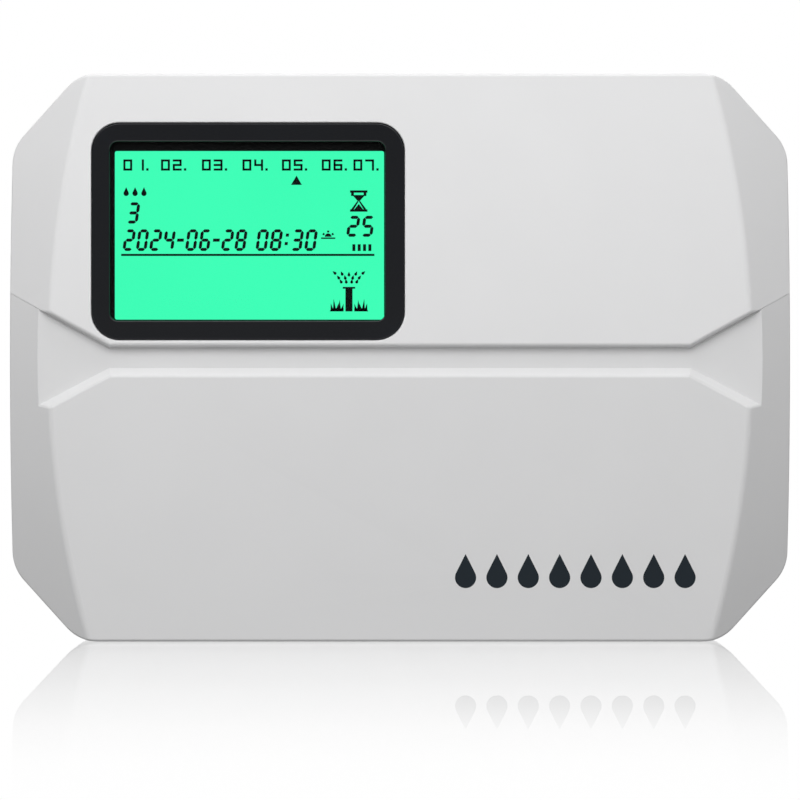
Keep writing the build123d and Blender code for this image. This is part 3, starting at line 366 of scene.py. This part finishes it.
def lit_display(name):
    """Back-lit green field, slightly cloudy, with a faint cell texture."""
    surface = Surface(name, roughness=0.35)
    glow = surface.noise(14.0, 2.0)
    green = surface.ramp(glow, [(0.3, LCD_GREEN_DIM), (0.7, LCD_GREEN)])
    surface.shader.inputs["Base Color"].default_value = (0.001, 0.01, 0.006, 1)
    surface.shader.inputs["Specular IOR Level"].default_value = 0.05
    fine = surface.noise(2200.0, 1.0)
    light = surface.mix(surface.math("MULTIPLY", fine, 0.06), green, LCD_GREEN_DIM)
    surface.link(light, surface.shader.inputs["Emission Color"])
    surface.shader.inputs["Emission Strength"].default_value = LCD_GLOW
    surface.bump(fine, 0.000004, 0.3)
    return surface.material


def clear_window(name):
    """Clear hard-coated lens with a trace of haze."""
    surface = Surface(name)
    surface.shader.inputs["Alpha"].default_value = 0.04
    surface.shader.inputs["Base Color"].default_value = (0.02, 0.025, 0.025, 1)
    haze = surface.noise(60.0, 4.0)
    surface.roughness(haze, 0.02, 0.12)
    return surface.material


RULE_WIDTH = 0.00035


def printed_label(name, paper, ink, row, column):
    """Paper label with ruled rows and columns at the given pitches."""
    surface = Surface(name, roughness=0.6)
    split = surface.node("ShaderNodeSeparateXYZ")
    surface.link(surface.place, split.inputs[0])
    lines = None
    for axis, pitch in (("Z", row), ("X", column)):
        phase = surface.math("FRACT", surface.math("DIVIDE", split.outputs[axis], pitch), 0.0)
        rule = surface.math("LESS_THAN", phase, RULE_WIDTH / pitch)
        lines = rule if lines is None else surface.math("MAXIMUM", lines, rule)
    fibres = surface.noise(1500.0, 3.0)
    sheet = surface.mix(fibres, shade(paper, 0.94), paper)
    surface.colour(surface.mix(lines, sheet, ink))
    surface.roughness(fibres, 0.5, 0.7)
    surface.bump(fibres, 0.00001, 0.4)
    return surface.material


def rubber(name, colour):
    """Dull rubber or ferrite with a dusting of lighter specks."""
    surface = Surface(name)
    dust = surface.noise(260.0, 5.0)
    surface.colour(surface.mix(dust, shade(colour, 0.8), shade(colour, 1.6)))
    surface.roughness(dust, 0.62, 0.85)
    surface.bump(surface.noise(1800.0, 2.0), 0.00003, 0.5)
    return surface.material


def ribbon_cable(name):
    """Parallel grey cores."""
    surface = Surface(name)
    wave = surface.node("ShaderNodeTexWave", Scale=400.0)
    surface.link(surface.place, wave.inputs["Vector"])
    surface.colour(surface.mix(wave.outputs["Fac"], (0.28, 0.28, 0.3), (0.55, 0.55, 0.57)))
    surface.roughness(wave.outputs["Fac"], 0.4, 0.6)
    surface.bump(wave.outputs["Fac"], 0.0002, 0.7)
    return surface.material


WHITE = (0.80, 0.80, 0.805)
DOOR_PAINTED_SHADE = 0.92             # painted shade: the door gets the cover's white darkened, standing in for less light on the lower front
STEEL = (0.62, 0.62, 0.63)
PLASTICS = {                  # colour, roughness from and to, grain, depth, variation, worn, specular
    "white_shell": (WHITE, 0.48, 0.58, 2400.0, 0.000006, 0.008, 1.03, 0.3),
    # painted shade: the door's white is the same white as the cover's, darkened for the dimmer light low on
    # the front
    "door_white": (shade(WHITE, DOOR_PAINTED_SHADE), 0.48, 0.58, 2400.0, 0.000006, 0.008, 1.03, 0.3),
    "housing_plastic": ((0.76, 0.76, 0.765), 0.42, 0.56, 2000.0, 0.00001, 0.012, 1.04),
    "panel_plastic": ((0.60, 0.61, 0.63), 0.42, 0.56, 2000.0, 0.00001, 0.015, 1.06),
    "bezel_black": ((0.0013, 0.0021, 0.0042), 0.14, 0.20, 3000.0, 0.000002, 0.05, 1.6, 0.34),
    "lcd_black": ((0.0015, 0.0015, 0.0015), 0.5, 0.7, 2600.0, 0.000004, 0.05, 1.4, 0.05),
    "backlight_white": ((0.85, 0.88, 0.86), 0.4, 0.5),
    "emblem_dark": ((0.009, 0.014, 0.019), 0.34, 0.44, 2600.0, 0.000004, 0.06, 1.5, 0.15),
    "connector_white": ((0.72, 0.69, 0.60), 0.45, 0.6),
    "key_grey": ((0.050, 0.056, 0.066), 0.40, 0.55, 2000.0, 0.00001, 0.04, 1.5),
    "plunger_black": ((0.02, 0.02, 0.02), 0.35, 0.5),
    "switch_black": ((0.022, 0.022, 0.023), 0.4, 0.6),
    "terminal_green": ((0.02, 0.22, 0.075), 0.38, 0.52, 1800.0, 0.00001, 0.05, 1.25),
    "chip_black": ((0.022, 0.022, 0.024), 0.45, 0.65, 2600.0, 0.00001, 0.08, 1.5),
    "capacitor_sleeve": ((0.02, 0.03, 0.07), 0.22, 0.34),
    "varistor_blue": ((0.02, 0.09, 0.30), 0.25, 0.4),
}
METALS = {                    # colour, roughness from and to, stretch of the lines
    "screw_steel": (STEEL, 0.22, 0.42),
    "pin_steel": (STEEL, 0.15, 0.30, (1, 12, 12)),
    "tinned_steel": ((0.66, 0.66, 0.65), 0.25, 0.45, (1, 1, 14)),
    "terminal_metal": ((0.66, 0.64, 0.58), 0.25, 0.45, (14, 1, 1)),
}
RUBBERS = {
    "contact_rubber": (0.45, 0.25, 0.30),
    "grommet_rubber": (0.022, 0.022, 0.023),
    "ferrite_grey": (0.06, 0.055, 0.055),
}
LABEL_PAPER = (0.78, 0.78, 0.76)
LABEL_INK = (0.25, 0.27, 0.30)
LABEL_ROW = 0.0057
LABEL_COLUMN = 0.0186
INKS = {                      # the same measures as the plastics
    "lcd_ink": ((0.0015, 0.004, 0.003), 0.5, 0.65, 2600.0, 0.000003, 0.1, 1.3, 0.04),
    "white_paint": ((0.75, 0.76, 0.77), 0.4, 0.55, 2600.0, 0.000004, 0.02, 1.05),
    "dark_paint": ((0.05, 0.055, 0.065), 0.4, 0.55, 2600.0, 0.000004, 0.05, 1.2),
}


def slot_materials():
    """One finished material for every slot of the record."""
    materials = {name: plastic(name, *finish) for name, finish in PLASTICS.items()}
    materials.update({name: metal(name, *finish) for name, finish in METALS.items()})
    materials.update({name: rubber(name, colour) for name, colour in RUBBERS.items()})
    materials["window_clear"] = clear_window("window_clear")
    materials["fuse_glass"] = clear_window("fuse_glass")
    materials["lcd_lit"] = lit_display("lcd_lit")
    materials["board_green"] = circuit_board("board_green")
    materials["ribbon_grey"] = ribbon_cable("ribbon_grey")
    label = printed_label("label_white", LABEL_PAPER, LABEL_INK, LABEL_ROW, LABEL_COLUMN)
    materials["label_white"] = label
    return materials


# ---- Thin artwork --------------------------------------------------------------------------------
def outlines_piece(name, outlines, y, thickness, material, body):
    """Raised flat shapes from (x, z) outlines in millimetres, standing on a face that looks to -Y."""
    mesh = bpy.data.meshes.new(name)
    form = bmesh.new()
    for outline in outlines:
        front = [form.verts.new((x * MM, (y - thickness) * MM, z * MM)) for x, z in outline]
        back = [form.verts.new((x * MM, y * MM, z * MM)) for x, z in outline]
        form.faces.new(front)
        form.faces.new(list(reversed(back)))
        for i in range(len(outline)):
            j = (i + 1) % len(outline)
            form.faces.new((front[j], front[i], back[i], back[j]))
    bmesh.ops.recalc_face_normals(form, faces=form.faces)
    form.to_mesh(mesh)
    form.free()
    piece = bpy.data.objects.new(name, mesh)
    bpy.context.scene.collection.objects.link(piece)
    mesh.materials.append(material)
    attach(piece, body)
    return piece


SEGMENTS = {
    "0": "abcdef", "1": "bc", "2": "abged", "3": "abgcd", "4": "fgbc", "5": "afgcd",
    "6": "afgedc", "7": "abc", "8": "abcdefg", "9": "abcdfg",
}
COLON_LEVELS = (0.27, 0.66)   # heights of the colon's dots, in heights of a numeral
HYPHEN_WIDTH = 0.62           # in widths of a numeral
POINT_GAP = 0.06              # pulled in at each pointed end, in strokes


def seven_segment(text, x, z, width, height, pitch, stroke, lean=0.14, pointed=True):
    """Outlines of seven-segment numerals with their lower left corner at (x, z)."""
    shapes = []
    spacing = pitch - width
    for character in text:
        if character == ":":
            for level in COLON_LEVELS:
                dot = square(x + stroke * 0.2, z + height * level, stroke)
                shapes.append(lean_over(dot, z, lean))
            x += stroke * 1.4 + spacing
        elif character == ".":
            shapes.append(square(x - spacing * 0.2, z, stroke * 1.1))
            x += stroke + spacing
        elif character == "-":
            bar = bar_outline(x, z + (height - stroke) / 2, width * HYPHEN_WIDTH, stroke)
            shapes.append(lean_over(bar, z, lean))
            x += width * HYPHEN_WIDTH + spacing
        else:
            for segment in SEGMENTS[character]:
                bar = segment_bar(segment, x, z, width, height, stroke, pointed)
                shapes.append(lean_over(bar, z, lean))
            x += pitch
    return shapes


def lean_over(outline, base, lean):
    """Slant an outline to the right, with its base line kept."""
    return [(x + (z - base) * lean, z) for x, z in outline]


def square(x, z, side):
    return bar_outline(x, z, side, side)


def bar_outline(x, z, width, height):
    return [(x, z), (x + width, z), (x + width, z + height), (x, z + height)]


def segment_bar(segment, x, z, width, height, stroke, pointed):
    """Bar of one segment: pointed at both ends, or plain and a little longer."""
    half = stroke / 2
    left, right = x + half, x + width - half
    low, mid, high = z + half, z + height / 2, z + height - half
    ends = {
        "a": ((left, high), (right, high)),
        "b": ((right, mid), (right, high)),
        "c": ((right, low), (right, mid)),
        "d": ((left, low), (right, low)),
        "e": ((left, low), (left, mid)),
        "f": ((left, mid), (left, high)),
        "g": ((left, mid), (right, mid)),
    }
    (x0, z0), (x1, z1) = ends[segment]
    level = z0 == z1
    start, end = (x0, x1) if level else (z0, z1)
    if pointed:
        start, end = start + stroke * POINT_GAP, end - stroke * POINT_GAP
        lower = [(start, 0), (start + half, -half), (end - half, -half)]
        upper = [(end, 0), (end - half, half), (start + half, half)]
    else:
        lower = [(start - half, -half), (end + half, -half)]
        upper = [(end + half, half), (start - half, half)]
    if level:
        return [(along, z0 + across) for along, across in lower + upper]
    return [(x0 + across, along) for along, across in lower + upper]


def disc(x, z, radius, steps=24, start=0.0, end=360.0):
    """Outline of a disc, or of a part of it between two angles."""
    count = steps if end - start >= 360 else steps + 1
    angles = [radians(start + (end - start) * i / steps) for i in range(count)]
    return [(x + radius * cos(a), z + radius * sin(a)) for a in angles]


def arc_band(x, z, inner, outer, start, end, steps=14):
    """Outline of a curved stripe."""
    angles = [radians(start + (end - start) * i / steps) for i in range(steps + 1)]
    out = [(x + outer * cos(a), z + outer * sin(a)) for a in angles]
    back = [(x + inner * cos(a), z + inner * sin(a)) for a in reversed(angles)]
    return out + back


def drop_outline(x, z, height, tilt=0.0):
    """Water drop, point up, its middle at (x, z), turned by tilt degrees."""
    radius = height * 0.30
    centre = -height / 2 + radius
    round_part = [(px, pz + centre) for px, pz in disc(0, 0, radius, 14, -215, 35)]
    points = round_part + [(0.0, height / 2)]
    turn = radians(tilt)
    return [(x + px * cos(turn) - pz * sin(turn), z + px * sin(turn) + pz * cos(turn)) for px, pz in points]


# ---- Display artwork, in millimetres -------------------------------------------------------------
LCD_FACE_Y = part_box("lcd_panel")[0].y / MM
INK_THICK = 0.05
DAY_LEFTS = (-77.8, -67.2, -55.7, -44.3, -33.2, -22.0, -13.1)
DAY_BASE = 52.6
DAY_STYLE = {"width": 2.5, "height": 3.15, "pitch": 3.3, "stroke": 0.6, "lean": 0.0, "pointed": False}
NUMERALS = [                  # text, left, base, width, height, pitch and stroke
    ("3", -77.1, 37.7, 3.3, 6.0, 4.0, 0.88),
    ("2024-06-28", -78.1, 30.0, 3.05, 6.1, 3.75, 0.88),
    ("08:30", -40.7, 30.0, 3.15, 6.1, 3.9, 0.88),
    ("25", -15.2, 34.0, 3.3, 5.9, 4.1, 0.88),
]
DAY_MARKER = [(-30.65, 48.6), (-27.6, 48.6), (-29.1, 51.2)]
RULE_LEFT = -78.4
RULE_RIGHT = -7.2
RULE_BASE = 28.6
RULE_THICK = 0.6
ZONE_DROPS = (-77.0, -74.5, -72.0)
ZONE_DROP_Z = 46.7
ZONE_DROP_HEIGHT = 2.5
SUN_PLACE = (-20.2, 33.5)
HOURGLASS_PLACE = (-11.6, 44.05)
HOURGLASS_SIZE = (4.9, 6.0)
MINUTE_BARS = (-13.4, -11.9, -10.4, -8.9)
MINUTE_BAR_BASE = 30.0
MINUTE_BAR_SIZE = (0.85, 1.9)
SPRINKLER_FOOT = (-14.35, 13.0)


def display_artwork(ink):
    """Dark segments on the lit field: days, zone, date, time, minutes and small symbols."""
    days = []
    for number, left in enumerate(DAY_LEFTS, start=1):
        days += seven_segment(f"0{number}.", left, DAY_BASE, **DAY_STYLE)
    numbers = []
    for numeral in NUMERALS:
        numbers += seven_segment(*numeral)
    rule = bar_outline(RULE_LEFT, RULE_BASE, RULE_RIGHT - RULE_LEFT, RULE_THICK)
    artwork = {
        "lcd_days": days,
        "lcd_marks": [DAY_MARKER, rule],
        "lcd_numbers": numbers,
        "lcd_symbols": display_symbols(),
    }
    for name, outlines in artwork.items():
        outlines_piece(name, outlines, LCD_FACE_Y, INK_THICK, ink, "case")


def display_symbols():
    """Three drops over the zone, rising sun, hourglass, minute bars and sprinkler."""
    shapes = [drop_outline(x, ZONE_DROP_Z, ZONE_DROP_HEIGHT) for x in ZONE_DROPS]
    shapes += rising_sun(*SUN_PLACE)
    shapes += hourglass(*HOURGLASS_PLACE, *HOURGLASS_SIZE)
    shapes += [bar_outline(x, MINUTE_BAR_BASE, *MINUTE_BAR_SIZE) for x in MINUTE_BARS]
    return shapes + sprinkler(*SPRINKLER_FOOT)


SUN_RADIUS = 0.95
SUN_RISE = 0.5                # its middle above its place
RAY_ANGLES = (30, 90, 150)
RAY_HALF = 11                 # half the angle that a ray fills
RAY_FROM = 1.2
RAY_TO = 1.75


def rising_sun(x, z):
    """Half disc on a bar, with three short rays."""
    middle = z + SUN_RISE
    shapes = [disc(x, middle, SUN_RADIUS, 12, 0, 180), bar_outline(x - 2.0, z - 0.1, 4.0, 0.4)]
    for angle in RAY_ANGLES:
        shapes.append(arc_band(x, middle, RAY_FROM, RAY_TO, angle - RAY_HALF, angle + RAY_HALF, 2))
    return shapes


HOURGLASS_BAR = 0.65


def hourglass(x, z, width, height):
    """Two end bars, sand in the upper bulb, the glass walls and a heap of sand below."""
    half, tall = width / 2, height / 2
    rim = tall - HOURGLASS_BAR
    shapes = [bar_outline(x - half, z + level, width, HOURGLASS_BAR) for level in (rim, -tall)]
    sand_half, sand_top = half * 0.74, z + rim * 0.72
    shapes.append([(x - sand_half, sand_top), (x + sand_half, sand_top), (x + 0.3, z), (x - 0.3, z)])
    for side in (-1, 1):
        out, inner = x + side * half * 0.88, x + side * half * 0.56
        shapes.append([(out, z + rim), (inner, z + rim), (inner, z + rim * 0.6), (out, z + rim * 0.6)])
        shapes.append([(out, z - rim), (inner, z - rim), (x + side * 0.02, z - 0.1), (x + side * 0.4, z)])
    heap_half = half * 0.5
    shapes.append([(x - heap_half, z - rim), (x + heap_half, z - rim), (x, z - rim * 0.35)])
    return shapes


GRASS = [                     # root, tip and height of each blade
    (1.6, 1.5, 2.2),
    (2.2, 2.6, 3.3),
    (2.9, 2.9, 2.4),
    (3.5, 4.3, 3.6),
    (4.2, 5.1, 2.3),
]
BLADE_WIDTH = 1.0
SPRAY = [                     # height over the nozzle and reach to the side of each drop
    (1.5, 0.8),
    (1.5, 2.3),
    (2.6, 1.1),
    (2.6, 3.0),
    (3.5, 0.0),
    (3.7, 2.0),
    (3.9, 4.1),
]
SPRAY_DROP = 1.35
SPRAY_TILT = 12               # degrees for each millimetre of reach
STEM_HEIGHT = 6.4


def sprinkler(x, z):
    """Pop-up sprinkler between two tufts of grass, with a fan of small drops."""
    shapes = [bar_outline(x - 1.0, z, 2.0, STEM_HEIGHT), bar_outline(x - 1.75, z + STEM_HEIGHT, 3.5, 0.5)]
    for side in (-1, 1):
        near, far, shoulder = x + side * 1.5, x + side * 5.4, x + side * 5.0
        shapes.append([(near, z), (far, z), (shoulder, z + 0.9), (near, z + 0.9)])
        for root, tip, tall in GRASS:
            foot = (x + side * root, x + side * (root + BLADE_WIDTH))
            shapes.append([(foot[0], z), (foot[1], z), (x + side * tip, z + tall)])
    for rise, reach in SPRAY:
        for side in (-1, 1) if reach else (1,):
            tilt = -side * reach * SPRAY_TILT
            shapes.append(drop_outline(x + side * reach, z + 7.0 + rise, SPRAY_DROP, tilt))
    return shapes


# ---- Key symbols and panel numbers, in millimetres -----------------------------------------------
SYMBOL_THICK = 0.06
WAVES = [arc_band(0, -1.8, inner, inner + 0.6, 45, 135) for inner in (1.3, 2.5, 3.7)]
KEY_SYMBOLS = {               # outlines round the middle of each key
    "up": [[(-2.2, -1.5), (2.2, -1.5), (0.0, 2.1)]],
    "down": [[(-2.2, 1.5), (0.0, -2.1), (2.2, 1.5)]],
    "ok": [[(-2.4, 0.0), (-1.7, 0.7), (-0.7, -0.4), (1.9, 2.2), (2.6, 1.5), (-0.7, -1.8)]],
    "back": [[(-2.5, 0.0), (-0.4, -1.9), (-0.4, -0.5), (2.4, -0.5), (2.4, 0.5), (-0.4, 0.5), (-0.4, 1.9)]],
    "wifi": WAVES + [disc(0, -1.6, 0.55)],
    "mode": [bar_outline(-2.2, level - 0.3, 4.4, 0.6) for level in (-1.5, 0.0, 1.5)],
}


def key_centre(name):
    """Middle and front of a key, in millimetres."""
    low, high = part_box(f"key_{name}")
    return (low.x + high.x) / 2 / MM, (low.z + high.z) / 2 / MM, low.y / MM


def key_symbols(paint):
    """A plain raised symbol on each key."""
    for name, outlines in KEY_SYMBOLS.items():
        x, z, face = key_centre(name)
        shapes = [[(x + px, z + pz) for px, pz in outline] for outline in outlines]
        outlines_piece(f"symbol_{name}", shapes, face, SYMBOL_THICK, paint, f"{name}_key")


KEY_RING_HEIGHT = 0.8         # the rings round the keys stand this far above the panel's face
POLE_PITCH = 7.62
BLOCK_END = 0.6               # from the end of a terminal block to its first pole
ZONES = 8
ZONE_NUMBER_BASE = -44.6
ZONE_STYLE = {"width": 2.0, "height": 3.4, "pitch": 2.4, "stroke": 0.45, "lean": 0.0, "pointed": False}


def panel_numbers(paint):
    """Zone numbers printed on the panel above the valve terminals."""
    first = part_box("valve_terminal")[0].x / MM + BLOCK_END + POLE_PITCH / 2
    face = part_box("control_panel")[0].y / MM + KEY_RING_HEIGHT
    shapes = []
    for zone in range(ZONES):
        left = first + zone * POLE_PITCH - ZONE_STYLE["width"] / 2
        shapes += seven_segment(str(zone + 1), left, ZONE_NUMBER_BASE, **ZONE_STYLE)
    outlines_piece("zone_numbers", shapes, face, INK_THICK, paint, "case")


# ---- Assembly ------------------------------------------------------------------------------------
def dress_nodes(materials):
    """Give every CAD node the finished material of its slot."""
    for entry in frame["record"]["subparts"]:
        node = nodes[entry["node"]]
        node.data.materials.clear()
        node.data.materials.append(materials[entry["material_slot"]])


def set_colour_management():
    bpy.context.scene.view_settings.view_transform = "Standard"
    bpy.context.scene.view_settings.look = "None"


def dress_artwork():
    """Add the raised inks of the display, the keys and the control panel."""
    inks = {name: plastic(name, *finish) for name, finish in INKS.items()}
    display_artwork(inks["lcd_ink"])
    key_symbols(inks["white_paint"])
    panel_numbers(inks["dark_paint"])


make_camera()
make_world()
make_floor()
for lamp in LAMPS:
    softbox(*lamp)
set_colour_management()
dress_nodes(slot_materials())
dress_artwork()
